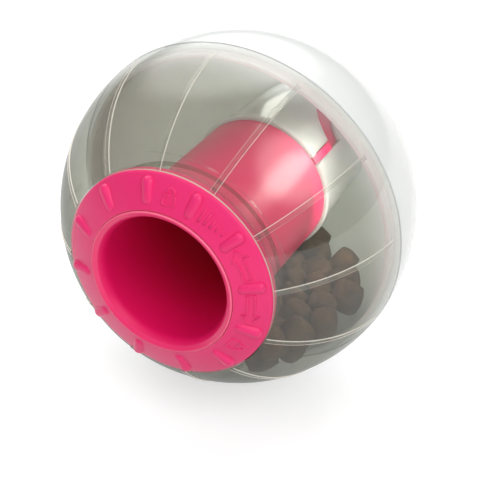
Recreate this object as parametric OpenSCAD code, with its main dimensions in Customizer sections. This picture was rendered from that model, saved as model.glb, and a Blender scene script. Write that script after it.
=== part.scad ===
/* [Ball] */
// Outer diameter of the ball
ball_d = 110; // [90:1:140]
// Wall of both half shells
shell_wall = 2; // [1.6:0.1:2.6]
// Height of the rear shell's inner lip above the seam
seam_lip_h = 3.4; // [2:0.1:5]
// Wall of that lip
seam_lip_wall = 1.5; // [1.2:0.1:2]
// Depth of the groove that marks the seam
seam_groove = 0.35; // [0.2:0.05:0.6]

/* [Shell ribs] */
// Number of ribs on the front shell
rib_count = 12; // [6:1:16]
// Width of a rib
rib_w = 1.7; // [1.2:0.1:2.6]
// Height of a rib above the ball at its middle
rib_h = 0.4; // [0.3:0.05:0.8]
// Angle from the opening's axis at which a rib would fade out if it went on under the ring
rib_front_angle = 26; // [20:1:36]
// Angle from the opening's axis at which a rib fades out near the seam
rib_rear_angle = 86; // [76:1:88]
// Angle of the first rib about the axis
rib_turn = 5.8; // [0:0.1:30]

/* [Opening and collar] */
// Depth of the seat that the ring's flange lies in
seat_depth = 2.4; // [2:0.1:3]
// How far the ring's flange reaches past the collar
flange_past = 2.6; // [2:0.1:4]
// Thickness of the collar's lip
lip_h = 3; // [2:0.1:4]
// Wall of the collar
collar_wall = 1.6; // [1.2:0.1:2.2]
// Length of the collar behind its lip
collar_len = 9.4; // [7:0.2:12]

/* [Ring lock] */
// Number of locking lugs
lug_count = 3; // [2:1:4]
// Height of a lug off the ring's skirt
lug_out = 1.5; // [1:0.1:2]
// Thickness of a lug along the axis
lug_h = 2.5; // [1.5:0.1:3.5]
// Angle that a lug spans
lug_span = 20; // [12:1:24]
// Angle that the ring turns from open to locked
lock_turn = 30; // [26:1:34]
// Angle of the first lug about the axis, in the open position
lug_turn = 80; // [0:1:120]

/* [Grip ring] */
// Height of the tunnel's mouth above the ring's outer edge
dome_h = 5.79; // [5:0.01:7]
// Room between the tube and the ring's skirt
skirt_room = 2.45; // [2:0.05:3]
// Wall of the ring's skirt
skirt_wall = 1.8; // [1.4:0.1:2.4]
// Thickness of the ring's hub on the tube
hub_h = 2.8; // [2:0.1:3.6]
// Number of raised grips
grip_count = 12; // [8:1:16]
// Width of a grip
grip_w = 4; // [3:0.1:5]
// Height of a grip above the ring's face
grip_h = 1; // [0.6:0.1:1.4]
// Length of a grip
grip_len = 8.4; // [6:0.2:9]
// Angle of the first grip about the axis
grip_turn = 10.4; // [0:0.1:30]

/* [Dispensing tube] */
// Inner diameter of the tunnel
bore_d = 41.2; // [38:0.2:44]
// How far the mouth flares out
mouth_flare = 1.2; // [0.6:0.1:1.6]
// Height of the bead above the mouth's inner edge
mouth_drop = 0.7; // [0.3:0.1:1]
// Length of the flare
flare_h = 3; // [2:0.1:4]
// Wall of the neck that carries the ring
neck_wall = 2.5; // [2.2:0.1:3]
// How far the bead round the mouth stands out of the neck
bead_out = 0.5; // [0.3:0.1:0.8]
// Thickness of the bead
bead_h = 1.1; // [0.8:0.1:1.6]
// How far the tube behind the ring stands out of the neck
shoulder_out = 0.55; // [0.4:0.05:0.8]
// Wall of the tube where it meets the socket
rear_wall = 1.6; // [1.4:0.1:2.2]
// How much narrower the tube's tail is inside than the tunnel
tail_step = 1; // [0.6:0.1:1.4]
// Wall of the tail
tail_wall = 1.3; // [1:0.1:1.6]
// Room between the tail's end and the rear shell
tail_room = 7.04; // [5:0.02:9]

/* [Socket] */
// Height of the socket from its root to its rim
socket_h = 34.19; // [30:0.01:38]
// How much the socket's radius shrinks from its rim to its root
socket_taper = 2.6; // [2:0.1:3.4]
// Wall of the socket
socket_wall = 1.5; // [1.2:0.1:1.8]
// Height of the bead round the socket's rim
rim_bead_h = 1.8; // [1:0.1:3]
// How far that bead stands out
rim_bead_out = 0.5; // [0.3:0.1:0.9]
// Height of the spigot on the rear shell that the socket stands over
spigot_h = 4; // [3:0.2:6]
// Wall of the spigot
spigot_wall = 1.6; // [1.2:0.1:2.2]

/* [Slots and keys] */
// Number of slots in the socket
slot_count = 3; // [2:1:3]
// Angle of the first slot's straight leg about the axis
slot_turn = 35; // [30:1:40]
// Width of the straight leg
slot_w = 2.9; // [2.4:0.1:3.6]
// Outer radius of the slot's hook
hook_r = 12.9; // [11:0.1:14]
// Width of the hook
hook_w = 6.6; // [5:0.1:7.5]
// Height of the hook's end above the socket's root
hook_rise = 9.04; // [7:0.02:11]
// Length of a key on the tube
key_len = 11; // [8:0.5:12]

/* [Windows] */
// Angle of the window that lets treats into the tube
window_turn = 228; // [222:1:234]
// Width of the window round the tube
window_w = 26; // [18:0.5:28]
// Height of the window along the tube
window_h = 17; // [12:0.5:18]
// Distance from the socket's rim down to the window's middle
window_drop = 12.65; // [11:0.05:14]

/* [Treats] */
// Width of one piece of kibble
kibble_w = 7.3; // [6:0.1:8]
// Diameter of the rounding that takes its corners off
kibble_round_d = 9.4; // [8:0.1:10]
// Gap between neighbouring pieces
kibble_gap = 0.25; // [0.15:0.05:1]
// Depth of the pile above the bottom of the ball
pile_h = 29; // [20:0.5:33]

/* [Fits] */
// Gap between faces that move past each other
move_gap = 0.3; // [0.2:0.05:0.4]
// Radial clearance of the ring's hub on the tube's neck
run_gap = 0.1; // [0.05:0.01:0.1]
// Gap between the shells' lips, and where the socket stands on the rear shell
seat_gap = 0.1; // [0.05:0.01:0.2]

/* [Hidden] */
$fn = 96;

// Overrun of every cut past the face that it opens
over = 1;

// Heights below are measured from the ball's centre towards the opening
ball_r = ball_d / 2;
inner_r = ball_r - shell_wall;

// Dispensing tube, from the tunnel outwards
bore_r = bore_d / 2;
mouth_r = bore_r + mouth_flare;
neck_r = bore_r + neck_wall;
bead_r = neck_r + bead_out;
bead_round = bead_h / 2;
tube_front_r = neck_r + shoulder_out;
tube_mid_r = bore_r + rear_wall;

// Ring and collar, from the tube outwards
hub_r = neck_r + run_gap;
rebate_r = bead_r + run_gap;
skirt_in_r = tube_front_r + skirt_room;
skirt_r = skirt_in_r + skirt_wall;
lug_r = skirt_r + lug_out;
lip_r = skirt_r + move_gap;
collar_in_r = lug_r + move_gap;
collar_r = collar_in_r + collar_wall;
ring_r = collar_r + flange_past;
seat_r = ball_r - seat_depth;
seat_edge_r = ring_r + move_gap;
lip_top = sphere_z(seat_r, lip_r);
lip_z = lip_top - lip_h;
collar_z = lip_z - collar_len;

// Angles left free beside a lug in its notch and before its stop, and the angle that a stop spans
notch_room = 2;
stop_room = 1;
stop_span = 4;
notch_span = lug_span + 2 * notch_room;

// Ribs: each is an arc about a centre moved towards the rib's middle, so that it fades at its ends
rib_mid = (rib_front_angle + rib_rear_angle) / 2;
rib_half = (rib_rear_angle - rib_front_angle) / 2;
rib_shift = (pow(ball_r + rib_h, 2) - pow(ball_r, 2)) / (2 * (ball_r + rib_h - ball_r * cos(rib_half)));
rib_top_r = ball_r + rib_h - rib_shift;
rib_depth = rib_h + shell_wall / 3;

// Angle past the seat's edge at which a rib starts, and past its fade at which it is cut off
rib_inset = 0.6;

// Grip ring: its face is part of a sphere through the ring's edge and the tube's bead
edge_z = sphere_z(ball_r, ring_r);
mouth_z = edge_z + dome_h;
face_rise = mouth_z - bead_round;
face_center = (pow(ring_r, 2) + pow(edge_z, 2) - pow(rebate_r, 2) - pow(face_rise, 2))
    / (2 * (edge_z - face_rise));
face_r = norm([ring_r, edge_z - face_center]);
flange_under_r = seat_r + move_gap;
hub_top = mouth_z - bead_h - run_gap;
hub_z = hub_top - hub_h;
grip_in_r = (ring_r + rebate_r - grip_len + grip_w) / 2;
grip_out_r = grip_in_r + grip_len - grip_w;

// Lugs under the collar's lip, and how far the skirt goes on past them
lug_top = lip_z - move_gap;
skirt_past = 0.6;
skirt_z = lug_top - lug_h - skirt_past;

// Socket on the rear shell, and the tube's tail in it
socket_rim_r = bore_r - tail_step + tail_wall + move_gap + socket_wall;
socket_root_r = socket_rim_r - socket_taper;
root_z = -sphere_z(inner_r, socket_root_r);
rim_z = root_z + socket_h;
tail_z = root_z + tail_room;
shoulder_z = hub_z - run_gap;
tube_stop_z = rim_z + run_gap;
tail_step_z = rim_z - rim_bead_h;

// Chamfer inside the socket's rim that leads the tail in
lead_in = 0.4;

// Slots: the straight leg sits beside the hook's centre, in the plane that faces the slot
slot_reach = socket_rim_r + rim_bead_out + over;
hook_z = root_z + hook_rise;
window_z = rim_z - window_drop;
key_r = socket_rim_r - move_gap;
key_w = slot_w - 2 * move_gap;
key_top = rim_z - run_gap - move_gap;

// Treats
kibble_r = kibble_round_d / 2;
pile_r = inner_r - kibble_r - kibble_gap;
lip_keep_r = sphere_z(inner_r, seam_lip_h) - seat_gap - seam_lip_wall - kibble_r - kibble_gap;
pitch = kibble_round_d + kibble_gap;
layer_h = pitch * sqrt(2 / 3);
row_h = pitch * sqrt(3) / 2;
tube_keep_r = tube_front_r + kibble_r + move_gap;
front_keep_z = collar_z - kibble_r - move_gap;
pile_top = inner_r - pile_h;
kibble_facets = 32;
turn_shares = [0.131, 0.197, 0.313];

// Height on a sphere of radius r at distance x from its axis
function sphere_z(r, x) = sqrt(pow(r, 2) - pow(x, 2));

// Bearing of the ball's surface at an angle from its axis, seen from a rib's centre
function rib_bearing(angle) = atan2(
    ball_r * cos(angle) - rib_shift * cos(rib_mid),
    ball_r * sin(angle) - rib_shift * sin(rib_mid));

// Outer radius of the socket's cone at height z
function socket_r(z) = socket_root_r + socket_taper * (z - root_z) / socket_h;

// Inner radius of the socket, and the tube's tail inside it
function socket_in_r(z) = socket_r(z) - socket_wall;
function tail_r(z) = socket_in_r(z) - move_gap;

// Turns a piece drawn along +Z so that the opening faces the front, -Y
module facing_front() {
    rotate([90, 0, 0]) children();
}

// Repeats a feature round the axis
module around(count, first) {
    for (i = [0 : count - 1]) rotate(first + i * 360 / count) children();
}

// Sector of a ring, centred on +X
module sector(r_in, r_out, z_low, z_high, span) {
    rotate(-span / 2) rotate_extrude(angle = span)
        translate([r_in, z_low]) square([r_out - r_in, z_high - z_low]);
}

// Outline of an upright band between two radii
module band(r_in, r_out, z_low, z_high) {
    translate([r_in, z_low]) square([r_out - r_in, z_high - z_low]);
}

// Diamond that cuts the seam's groove
module groove_outline() {
    translate([ball_r, 0]) rotate(45) square(seam_groove * sqrt(2), center = true);
}

// Half outline of the front shell, collar and seat
module front_outline() {
    difference() {
        union() {
            intersection() {
                difference() {
                    circle(ball_r);
                    circle(inner_r);
                }
                band(0, ball_r, 0, ball_r);
            }
            intersection() {
                difference() {
                    circle(ball_r);
                    circle(seat_r - shell_wall);
                }
                band(collar_in_r, seat_edge_r + shell_wall, collar_z, ball_r);
            }
            intersection() {
                circle(ball_r);
                band(collar_in_r, collar_r, collar_z, ball_r);
            }
            intersection() {
                circle(ball_r);
                band(lip_r, collar_r, lip_z, ball_r);
            }
        }
        difference() {
            band(0, seat_edge_r, 0, ball_r + over);
            circle(seat_r);
        }
        band(0, lip_r, 0, ball_r + over);
        groove_outline();
    }
}

// A curved bar that rises out of the shell and sinks back into it near the seam
module rib() {
    start = rib_bearing(asin(seat_edge_r / ball_r) + rib_inset);
    end = rib_bearing(rib_rear_angle + rib_inset);
    translate([rib_shift * sin(rib_mid), 0, rib_shift * cos(rib_mid)])
        rotate([90, 0, 0]) rotate(end) rotate_extrude(angle = start - end)
            translate([rib_top_r - rib_depth, -rib_w / 2]) square([rib_depth, rib_w]);
}

module front_shell() {
    color([0.6, 0.61, 0.56, 0.45]) facing_front() {
        difference() {
            rotate_extrude() front_outline();
            around(lug_count, lug_turn)
                sector(lip_r - over, collar_in_r, lip_z - over, ball_r, notch_span);
        }
        around(rib_count, rib_turn) rib();
        around(lug_count, lug_turn + (lug_span + stop_span) / 2 + stop_room) stop_rib();
        around(lug_count, lug_turn - lock_turn - (lug_span + stop_span) / 2 - stop_room) stop_rib();
    }
}

// Stops a lug at the end of its turn
module stop_rib() {
    sector(skirt_r + 2 * move_gap, collar_in_r + collar_wall / 2, lip_z - lug_h, lip_z + lip_h / 3, stop_span);
}

// Half outline of the rear shell with its lip and the socket's spigot
module rear_outline() {
    spigot_r = socket_in_r(root_z) - seat_gap;
    lip_out_r = sphere_z(inner_r, seam_lip_h) - seat_gap;
    difference() {
        union() {
            intersection() {
                difference() {
                    circle(ball_r);
                    circle(inner_r);
                }
                band(0, ball_r, -ball_r, 0);
            }
            intersection() {
                circle(ball_r - shell_wall / 2);
                band(lip_out_r - seam_lip_wall, ball_r, -seam_lip_h, 0);
            }
            band(lip_out_r - seam_lip_wall, lip_out_r, -seam_lip_h, seam_lip_h);
            intersection() {
                circle(ball_r - shell_wall / 2);
                band(spigot_r - spigot_wall, spigot_r, -ball_r, -sphere_z(inner_r, spigot_r) + spigot_h);
            }
        }
        groove_outline();
    }
}

module rear_shell() {
    color([0.97, 0.97, 0.95]) facing_front() rotate_extrude() rear_outline();
}

// Half outline of the socket, whose root follows the rear shell's inside
module socket_outline() {
    intersection() {
        union() {
            polygon([
                [socket_in_r(-inner_r), -inner_r],
                [socket_r(-inner_r), -inner_r],
                [socket_rim_r, rim_z],
                [socket_in_r(rim_z) + lead_in, rim_z],
                [socket_in_r(rim_z - lead_in), rim_z - lead_in],
            ]);
            band(socket_rim_r - socket_wall / 2, socket_rim_r + rim_bead_out, rim_z - rim_bead_h, rim_z);
        }
        circle(inner_r - seat_gap);
    }
}

// Slot seen square on: a straight leg from the rim, then a hook that curves sideways and down
module slot_outline() {
    translate([0, hook_z]) {
        intersection() {
            difference() {
                circle(hook_r);
                circle(hook_r - hook_w);
            }
            square(hook_r);
        }
        translate([0, hook_r - hook_w]) square([slot_w, rim_z - hook_z + over]);
    }
}

// Round-ended opening seen square on
module window_outline(w, h) {
    square([w - h, h], center = true);
    for (side = [-1, 1]) translate([side * (w - h) / 2, 0]) circle(h / 2);
}

// Sends an outline outwards along +X from the axis, upright along Z
module outward(reach) {
    rotate([90, 0, 90]) linear_extrude(reach) children();
}

module tube_socket() {
    color([0.95, 0.95, 0.92]) facing_front() difference() {
        rotate_extrude() socket_outline();
        around(slot_count, slot_turn) translate([0, -slot_w / 2, 0]) outward(slot_reach) slot_outline();
        rotate(window_turn) translate([0, 0, window_z])
            outward(slot_reach) window_outline(window_w + 2 * move_gap, window_h + 2 * move_gap);
    }
}

// Half outline of the tube: bead, neck, body, shoulder on the socket's rim, and tail
module tube_outline() {
    difference() {
        union() {
            polygon([
                [0, mouth_z - bead_round],
                [neck_r, mouth_z - bead_round],
                [neck_r, shoulder_z],
                [tube_front_r, shoulder_z],
                [tube_mid_r, tube_stop_z],
                [tail_r(rim_z), tube_stop_z],
                [tail_r(tail_z), tail_z],
                [0, tail_z],
            ]);
            band(0, bead_r - bead_round, mouth_z - bead_h, mouth_z);
            translate([bead_r - bead_round, mouth_z - bead_round]) circle(bead_round);
        }
        polygon([
            [0, mouth_z + over],
            [bead_r - bead_round, mouth_z + over],
            [bead_r - bead_round, mouth_z],
            [mouth_r, mouth_z - mouth_drop],
            [bore_r, mouth_z - flare_h],
            [bore_r, rim_z + flare_h],
            [tail_r(tail_step_z) - tail_wall, tail_step_z],
            [tail_r(tail_z - over) - tail_wall, tail_z - over],
            [0, tail_z - over],
        ]);
    }
}

module dispensing_tube() {
    color([0.95, 0.24, 0.47]) facing_front() {
        difference() {
            rotate_extrude() tube_outline();
            rotate(window_turn) translate([0, 0, window_z])
                outward(slot_reach) window_outline(window_w, window_h);
        }
        around(slot_count, slot_turn) tube_key();
    }
}

// Key that keeps the tube from turning in the socket
module tube_key() {
    key_in_r = tail_r(key_top - key_len) - tail_wall / 2;
    translate([key_in_r, -key_w / 2, key_top - key_len]) cube([key_r - key_in_r, key_w, key_len]);
}

// Half outline of the ring: flange, hub on the tube's neck, and skirt
module ring_outline() {
    intersection() {
        translate([0, face_center]) circle(face_r);
        union() {
            difference() {
                band(rebate_r, ring_r, 0, ball_r);
                circle(flange_under_r);
            }
            band(hub_r, skirt_r, hub_z, hub_top);
            band(rebate_r, skirt_r, hub_z, ball_r);
            band(skirt_in_r, skirt_r, skirt_z, ball_r);
        }
    }
}

// Raised grip: a bar with round ends, sunk into the face
module grip() {
    sink = grip_w / 2 - grip_h;
    low = [grip_out_r, face_z(grip_out_r) - sink];
    high = [grip_in_r, face_z(grip_in_r) - sink];
    slope = atan2(high.x - low.x, high.y - low.y);
    translate([low.x, 0, low.y]) rotate([0, slope, 0]) {
        cylinder(d = grip_w, h = norm(high - low));
        sphere(d = grip_w);
        translate([0, 0, norm(high - low)]) sphere(d = grip_w);
    }
}

function face_z(x) = face_center + sphere_z(face_r, x);

module grip_ring() {
    color([0.95, 0.24, 0.47]) facing_front() {
        rotate_extrude() ring_outline();
        difference() {
            around(grip_count, grip_turn) grip();
            sphere(flange_under_r + grip_h / 2);
        }
        around(lug_count, lug_turn)
            sector(skirt_r - skirt_wall / 2, lug_r, lug_top - lug_h, lug_top, lug_span);
    }
}

// One piece of kibble: a cube whose corners are rounded off
module kibble(turn) {
    rotate(turn) intersection() {
        cube(kibble_w, center = true);
        sphere(kibble_r, $fn = kibble_facets);
    }
}

// Treats lie in close-packed layers in the bottom of the ball, clear of the tube and the collar
module treats() {
    reach = ceil(ball_r / row_h);
    color([0.45, 0.32, 0.18])
        for (layer = [0 : reach], row = [-reach : reach], place = [-reach : reach]) {
            x = pitch * (place + (row % 2 + layer % 2) / 2);
            y = row_h * (row + (layer % 2) / 3);
            z = -pile_top - kibble_r - layer_h * layer;
            turn_count = place + reach * (row + reach * layer);
            aside = norm([x, z]);
            clear = norm([x, y, z]) < pile_r && aside < lip_keep_r && aside > tube_keep_r && -y < front_keep_z;
            if (clear) translate([x, y, z]) kibble(360 * turn_count * turn_shares);
        }
}

front_shell();
rear_shell();
tube_socket();
dispensing_tube();
grip_ring();
treats();
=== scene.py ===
"""Looks of a treat dispensing ball: a smoky clear and a white half, with a pink tunnel and locking ring."""
import math
import random

import bpy
from mathutils import Matrix, Vector


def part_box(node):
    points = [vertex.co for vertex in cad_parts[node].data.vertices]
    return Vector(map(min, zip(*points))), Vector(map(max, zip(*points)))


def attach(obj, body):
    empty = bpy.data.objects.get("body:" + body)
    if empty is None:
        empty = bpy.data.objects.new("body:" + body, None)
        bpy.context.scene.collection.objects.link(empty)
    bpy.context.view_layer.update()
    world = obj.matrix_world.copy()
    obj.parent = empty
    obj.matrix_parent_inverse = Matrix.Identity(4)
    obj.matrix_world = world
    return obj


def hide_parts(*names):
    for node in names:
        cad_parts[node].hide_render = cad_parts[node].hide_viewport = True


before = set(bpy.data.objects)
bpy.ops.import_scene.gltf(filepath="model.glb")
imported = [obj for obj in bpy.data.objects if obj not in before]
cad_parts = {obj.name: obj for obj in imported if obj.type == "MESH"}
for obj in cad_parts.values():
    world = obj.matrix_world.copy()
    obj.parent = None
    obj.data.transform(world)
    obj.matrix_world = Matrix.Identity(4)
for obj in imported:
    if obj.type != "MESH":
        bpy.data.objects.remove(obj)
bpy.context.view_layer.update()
bpy.ops.object.select_all(action="DESELECT")

# Rear shell: the glossy white half of the ball, moulded in a plastic that lets a
# little light through. Its inner lip nests in the clear half at the seam, and a
# low spigot in its bottom carries the socket. It is turned from one outline.
MM = 0.001
BALL_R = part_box("rear_shell")[1].y
SHELL_WALL = 2.0 * MM
INNER_R = BALL_R - SHELL_WALL
SEAM_CHAMFER = 0.3 * MM
SEAM_ANGLE = 0.35
NEST_ROOM = 0.1 * MM
LIP_H = 3.4 * MM
LIP_WALL = 1.5 * MM
LIP_OUT_R = math.sqrt(INNER_R**2 - LIP_H**2) - NEST_ROOM
LIP_ROOT_ANGLE = 94
SPIGOT_IN_R = 16.9 * MM
SPIGOT_OUT_R = 18.5 * MM
SPIGOT_TOP = -46.0 * MM
TURN_STEPS = 192
WELD = 0.01 * MM
CREASE = math.radians(28)
FACE_ROOM = 0.05 * MM
COAT_ROUGH = 0.08
FLOW_SIZE = 18 * MM
GLOSSIER, DULLER = 0.85, 1.2
GRAIN_DEPTH = 0.05 * MM
SHELL_GRAIN = 0.6 * MM
GLOW_TINT = (1, 1, 0.92)


def arc(radius, start, end, count, centre=0.0):
    """Points (distance from the axis, height towards the opening) on a circle, by polar angle in degrees."""
    points = []
    for i in range(count + 1):
        angle = math.radians(start + (end - start) * i / count)
        points.append((radius * math.sin(angle), centre + radius * math.cos(angle)))
    return points


def polar(radius, distance):
    """Polar angle in degrees at which a circle of that radius lies at that distance from the axis."""
    return math.degrees(math.asin(distance / radius))


def turned(name, outline):
    """Turns a closed outline of (distance, height) points round the ball's axis, whose opening faces -Y."""
    bpy.ops.mesh.primitive_plane_add(size=MM, location=(0, 0, 0))
    piece = bpy.context.object
    piece.name = name
    bpy.ops.object.mode_set(mode="EDIT")
    bpy.ops.mesh.merge(type="CENTER")
    bpy.ops.transform.translate(value=(outline[0][0], -outline[0][1], 0))
    for here, there in zip(outline, outline[1:] + outline[:1]):
        step = (there[0] - here[0], here[1] - there[1], 0)
        bpy.ops.mesh.extrude_region_move(TRANSFORM_OT_translate={"value": step})
    bpy.ops.mesh.select_all(action="SELECT")
    bpy.ops.mesh.spin(steps=TURN_STEPS, angle=math.tau, center=(0, 0, 0), axis=(0, 1, 0))
    bpy.ops.mesh.select_all(action="SELECT")
    bpy.ops.mesh.remove_doubles(threshold=WELD)
    bpy.ops.mesh.delete_loose(use_verts=True, use_edges=True, use_faces=False)
    bpy.ops.mesh.select_all(action="SELECT")
    bpy.ops.mesh.normals_make_consistent(inside=False)
    bpy.ops.object.mode_set(mode="OBJECT")
    bpy.ops.object.shade_smooth_by_angle(angle=CREASE)
    return piece


def moulded(name, colour, roughness, grain, bump, coat=0.0):
    """A moulded plastic: one colour, with a faint flow in its gloss and a grain of that size."""
    material = bpy.data.materials.new(name)
    material.use_nodes = True
    nodes, links = material.node_tree.nodes, material.node_tree.links
    shader = nodes["Principled BSDF"]
    shader.inputs["Base Color"].default_value = (*colour, 1)
    shader.inputs["Coat Weight"].default_value = coat
    shader.inputs["Coat Roughness"].default_value = COAT_ROUGH
    place = nodes.new("ShaderNodeTexCoord")
    flow = nodes.new("ShaderNodeTexNoise")
    flow.inputs["Scale"].default_value = 1 / FLOW_SIZE
    flow.inputs["Detail"].default_value = 3
    links.new(place.outputs["Object"], flow.inputs["Vector"])
    gloss = nodes.new("ShaderNodeMapRange")
    gloss.inputs["To Min"].default_value = roughness * GLOSSIER
    gloss.inputs["To Max"].default_value = roughness * DULLER
    links.new(flow.outputs["Fac"], gloss.inputs["Value"])
    links.new(gloss.outputs["Result"], shader.inputs["Roughness"])
    pattern = nodes.new("ShaderNodeTexNoise")
    pattern.inputs["Scale"].default_value = 1 / grain
    pattern.inputs["Detail"].default_value = 2
    links.new(place.outputs["Object"], pattern.inputs["Vector"])
    relief = nodes.new("ShaderNodeBump")
    relief.inputs["Strength"].default_value = bump
    relief.inputs["Distance"].default_value = GRAIN_DEPTH
    links.new(pattern.outputs["Fac"], relief.inputs["Height"])
    links.new(relief.outputs["Normal"], shader.inputs["Normal"])
    return material


rear_outline = (
    [(BALL_R - SEAM_CHAMFER, 0)]
    + arc(BALL_R, 90 + SEAM_ANGLE, 180, 90)
    + arc(INNER_R, 180, 180 - polar(INNER_R, SPIGOT_IN_R), 18)
    + [(SPIGOT_IN_R, SPIGOT_TOP), (SPIGOT_OUT_R, SPIGOT_TOP)]
    + arc(INNER_R, 180 - polar(INNER_R, SPIGOT_OUT_R), LIP_ROOT_ANGLE, 72)
    + [(LIP_OUT_R - LIP_WALL, -LIP_H), (LIP_OUT_R - LIP_WALL, LIP_H), (LIP_OUT_R, LIP_H), (LIP_OUT_R, 0)]
)
rear_half = turned("rear_half", rear_outline)
white_gloss = moulded("white_gloss", (0.765, 0.785, 0.77), 0.16, SHELL_GRAIN, 0.01, coat=0.2)
white_inside_lit = moulded("white_inside_lit", (0.745, 0.79, 0.765), 0.16, SHELL_GRAIN, 0.01, coat=0.2)
# The inside's finish is a lit copy of the white plastic, made to look brighter: light goes through it by a
# greater share and depth than through the outside's.
for finish, glow_through, depth in ((white_gloss, 0.3, 3 * MM), (white_inside_lit, 1.0, 8 * MM)):
    shader = finish.node_tree.nodes["Principled BSDF"]
    shader.inputs["Subsurface Weight"].default_value = glow_through
    shader.inputs["Subsurface Radius"].default_value = GLOW_TINT
    shader.inputs["Subsurface Scale"].default_value = depth
rear_seam_painted_shade = moulded("rear_seam_painted_shade", (0.5, 0.51, 0.5), 0.45, SHELL_GRAIN, 0.01)
for finish in (white_gloss, white_inside_lit, rear_seam_painted_shade):
    rear_half.data.materials.append(finish)
# Material 1, the lit copy, is on the inside, and 2, a grey that paints shade in the seam's groove, on the
# chamfer at the seam.
for face in rear_half.data.polygons:
    if face.center.length < BALL_R - SHELL_WALL / 4:
        face.material_index = 1
    elif 0 < face.center.y < SEAM_CHAMFER + FACE_ROOM:
        face.material_index = 2
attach(rear_half, "ball")
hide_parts("rear_shell")

# Tube socket: a white tapered column that stands over the spigot in the rear shell.
# The tube's thin end slides into it, and its slots hook sideways at their ends.
# The slots and the window for the treats are cut out of the turned wall.
SOCKET_RIM = -14.85 * MM
SOCKET_RIM_R = 22.7 * MM
SOCKET_ROOT_R = 20.1 * MM
SOCKET_ROOT = -math.sqrt(INNER_R**2 - SOCKET_ROOT_R**2) + NEST_ROOM
SOCKET_WALL = 1.5 * MM
RIM_BEAD_H = 1.8 * MM
RIM_BEAD_OUT = 0.5 * MM
RIM_BEAD_R = SOCKET_RIM_R + RIM_BEAD_OUT
RIM_BEAD_BACK = SOCKET_RIM - RIM_BEAD_H
RIM_BEAD_EDGE = 0.25 * MM
RIM_EDGE = 0.3 * MM
RIM_LEAD_IN = 0.8 * MM
ROOT_BEVEL = 0.4 * MM
BEAD_ROOT_R = SOCKET_RIM_R - 0.14 * MM
SLOT_TURNS = (35, 155, 275)
SLOT_W = 2.9 * MM
SLOT_TOP = SOCKET_RIM + 2 * MM
HOOK_R = 12.9 * MM
HOOK_W = 6.6 * MM
HOOK_END = -40.0 * MM
WINDOW_TURN = 228
WINDOW_W = 26.0 * MM
WINDOW_H = 17.0 * MM
WINDOW_MID = -27.5 * MM
WINDOW_ROOM = 0.6 * MM
CUT_FROM = 12.0 * MM
CUT_TO = 26.0 * MM


def cutter(outline, turn, start=CUT_FROM, end=CUT_TO):
    """A solid that runs outwards from near the axis, with the outline of (sideways, height) points."""
    bpy.ops.mesh.primitive_plane_add(size=MM, location=(0, 0, 0))
    tool = bpy.context.object
    bpy.ops.object.mode_set(mode="EDIT")
    bpy.ops.mesh.merge(type="CENTER")
    bpy.ops.transform.translate(value=(start, -outline[0][1], outline[0][0]))
    for here, there in zip(outline, outline[1:]):
        step = (0, here[1] - there[1], there[0] - here[0])
        bpy.ops.mesh.extrude_region_move(TRANSFORM_OT_translate={"value": step})
    bpy.ops.mesh.select_all(action="SELECT")
    bpy.ops.mesh.edge_face_add()
    bpy.ops.mesh.extrude_region_move(TRANSFORM_OT_translate={"value": (end - start, 0, 0)})
    bpy.ops.mesh.select_all(action="SELECT")
    bpy.ops.mesh.normals_make_consistent(inside=False)
    bpy.ops.object.mode_set(mode="OBJECT")
    tool.data.transform(Matrix.Rotation(-math.radians(turn), 4, "Y"))
    return tool


def combine(piece, tool, way):
    """Cuts a tool out of a piece or makes it part of the piece, and removes the tool."""
    bpy.ops.object.select_all(action="DESELECT")
    piece.select_set(True)
    bpy.context.view_layer.objects.active = piece
    change = piece.modifiers.new("combine", "BOOLEAN")
    change.operation = way
    change.object = tool
    change.solver = "EXACT"
    bpy.ops.object.modifier_apply(modifier=change.name)
    bpy.data.objects.remove(tool)


def bow(radius, middle, angles):
    """Points on a circle about a middle (sideways, height), at angles in degrees from straight up."""
    return [
        (middle[0] + radius * math.sin(math.radians(a)), middle[1] + radius * math.cos(math.radians(a)))
        for a in angles
    ]


def slot_outline():
    """A straight leg from the rim that turns into a wider hook, curving sideways and down."""
    inner = HOOK_R - HOOK_W
    leg_end = int(polar(HOOK_R, SLOT_W)) + 1
    points = [(SLOT_W, SLOT_TOP), (0, SLOT_TOP), (0, HOOK_END + inner)]
    points += bow(inner, (0, HOOK_END), range(10, 91, 10))
    points += bow(HOOK_R, (0, HOOK_END), range(90, leg_end, -6))
    points.append((SLOT_W, HOOK_END + math.sqrt(HOOK_R**2 - SLOT_W**2)))
    return [(side - SLOT_W / 2, height) for side, height in points]


def window_outline(width, height):
    """A round-ended opening round the column."""
    radius = height / 2
    right = bow(radius, (width / 2 - radius, WINDOW_MID), range(0, 181, 12))
    return right + [(-side, 2 * WINDOW_MID - up) for side, up in right]


socket_outline = [
    (SOCKET_ROOT_R - SOCKET_WALL, SOCKET_ROOT - ROOT_BEVEL),
    (SOCKET_ROOT_R, SOCKET_ROOT),
    (BEAD_ROOT_R, RIM_BEAD_BACK),
    (RIM_BEAD_R - RIM_BEAD_EDGE, RIM_BEAD_BACK),
    (RIM_BEAD_R, SOCKET_RIM - 0.8 * RIM_BEAD_H),
    (RIM_BEAD_R, SOCKET_RIM - 0.25 * RIM_BEAD_H),
    (RIM_BEAD_R - RIM_EDGE, SOCKET_RIM),
    (SOCKET_RIM_R - 0.75 * SOCKET_WALL, SOCKET_RIM),
    (SOCKET_RIM_R - SOCKET_WALL, SOCKET_RIM - RIM_LEAD_IN),
]
socket_column = turned("socket_column", socket_outline)
for turn in SLOT_TURNS:
    combine(socket_column, cutter(slot_outline(), turn), "DIFFERENCE")
wide_window = window_outline(WINDOW_W + WINDOW_ROOM, WINDOW_H + WINDOW_ROOM)
combine(socket_column, cutter(wide_window, WINDOW_TURN), "DIFFERENCE")
bpy.ops.object.shade_smooth_by_angle(angle=CREASE)
# The socket also takes the lit copy of the white plastic.
socket_column.data.materials.append(white_inside_lit)
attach(socket_column, "ball")
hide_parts("tube_socket")

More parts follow.
